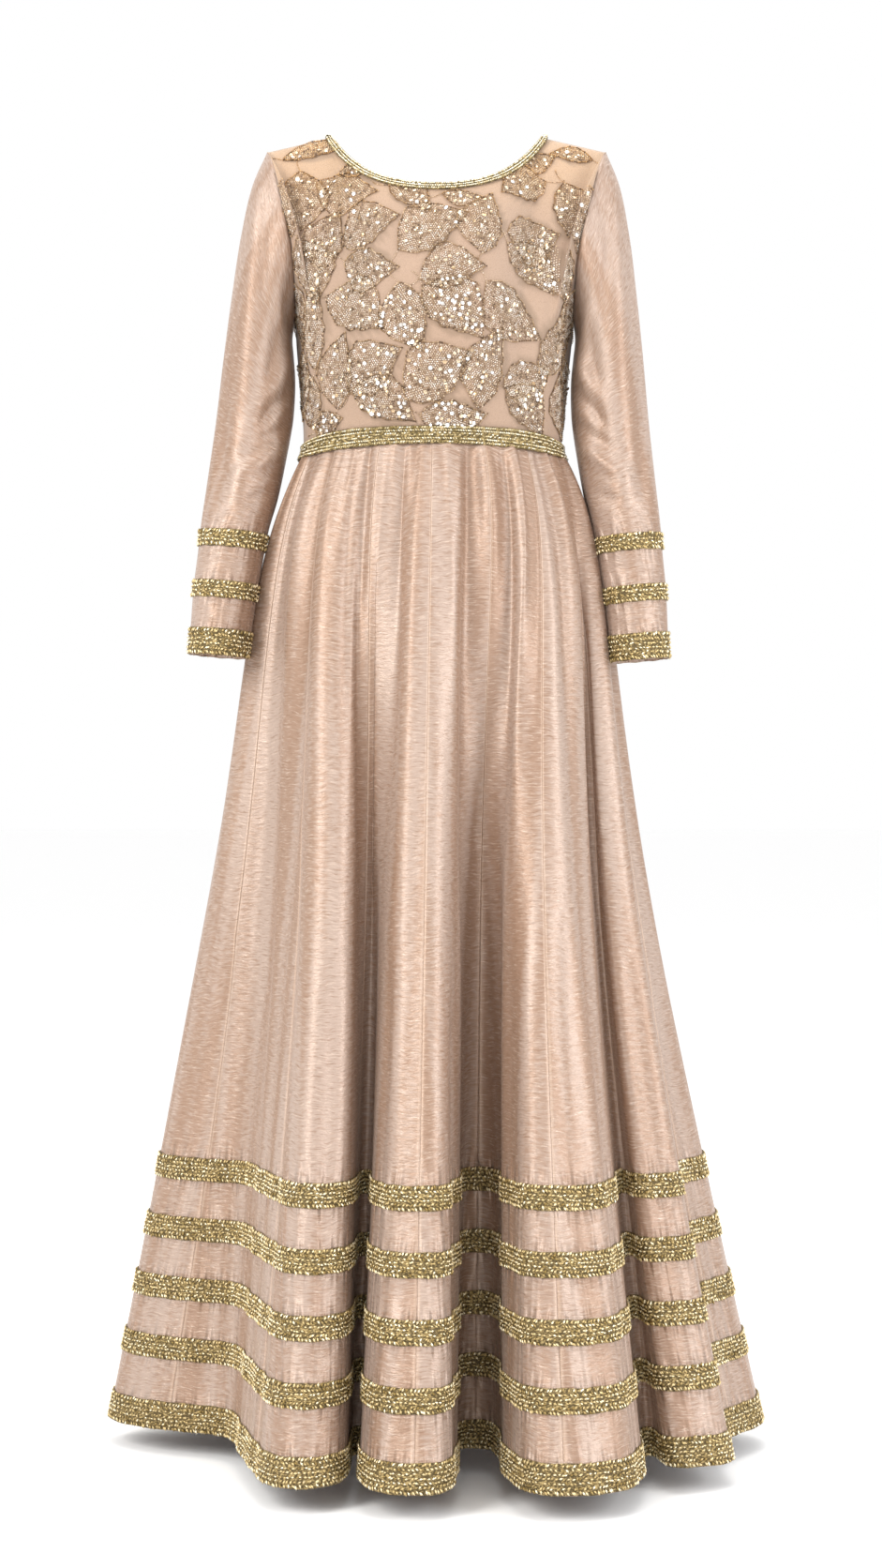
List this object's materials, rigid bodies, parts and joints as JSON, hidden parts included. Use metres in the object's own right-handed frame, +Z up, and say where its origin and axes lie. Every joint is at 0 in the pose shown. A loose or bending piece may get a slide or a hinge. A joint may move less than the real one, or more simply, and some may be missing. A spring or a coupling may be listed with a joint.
{
  "type": "anarkali gown",
  "caption": "Floor-length worn gown with a scooped neck, long fitted sleeves, a netted bodice and a fluted skirt of long gores banded with braid.",
  "frame": {"origin": "between the shoulders, at the height where the shoulder seams meet the neck and on those seams in depth, where the wearer carries the gown", "axes": "+Z up, the gown faces -Y, +X is the wearer's left"},
  "size_m": [0.6983, 0.6649, 1.3685],
  "materials": {
    "rose_silk": "dupion silk with a satin sheen and fine slubs",
    "nude_net": "sheer taupe net over a nude ground, beaded",
    "gold_braid": "plaited olive-gold metallic braid"
  },
  "bodies": {
    "root": {"bodice_front": "nude_net", "bodice_back": "nude_net", "sleeve_left": "rose_silk", "sleeve_right": "rose_silk", "kali_01": "rose_silk", "kali_02": "rose_silk", "kali_03": "rose_silk", "kali_04": "rose_silk", "kali_05": "rose_silk", "kali_06": "rose_silk", "kali_07": "rose_silk", "kali_08": "rose_silk", "kali_09": "rose_silk", "kali_10": "rose_silk", "kali_11": "rose_silk", "kali_12": "rose_silk", "kali_13": "rose_silk", "kali_14": "rose_silk", "kali_15": "rose_silk", "kali_16": "rose_silk", "neck_trim": "gold_braid", "waist_trim": "gold_braid", "tier_trim_1": "gold_braid", "tier_trim_2": "gold_braid", "tier_trim_3": "gold_braid", "tier_trim_4": "gold_braid", "hem_trim": "gold_braid", "sleeve_left_band_1": "gold_braid", "sleeve_left_band_2": "gold_braid", "sleeve_left_cuff": "gold_braid", "sleeve_right_band_1": "gold_braid", "sleeve_right_band_2": "gold_braid", "sleeve_right_cuff": "gold_braid"}
  },
  "joints": []
}
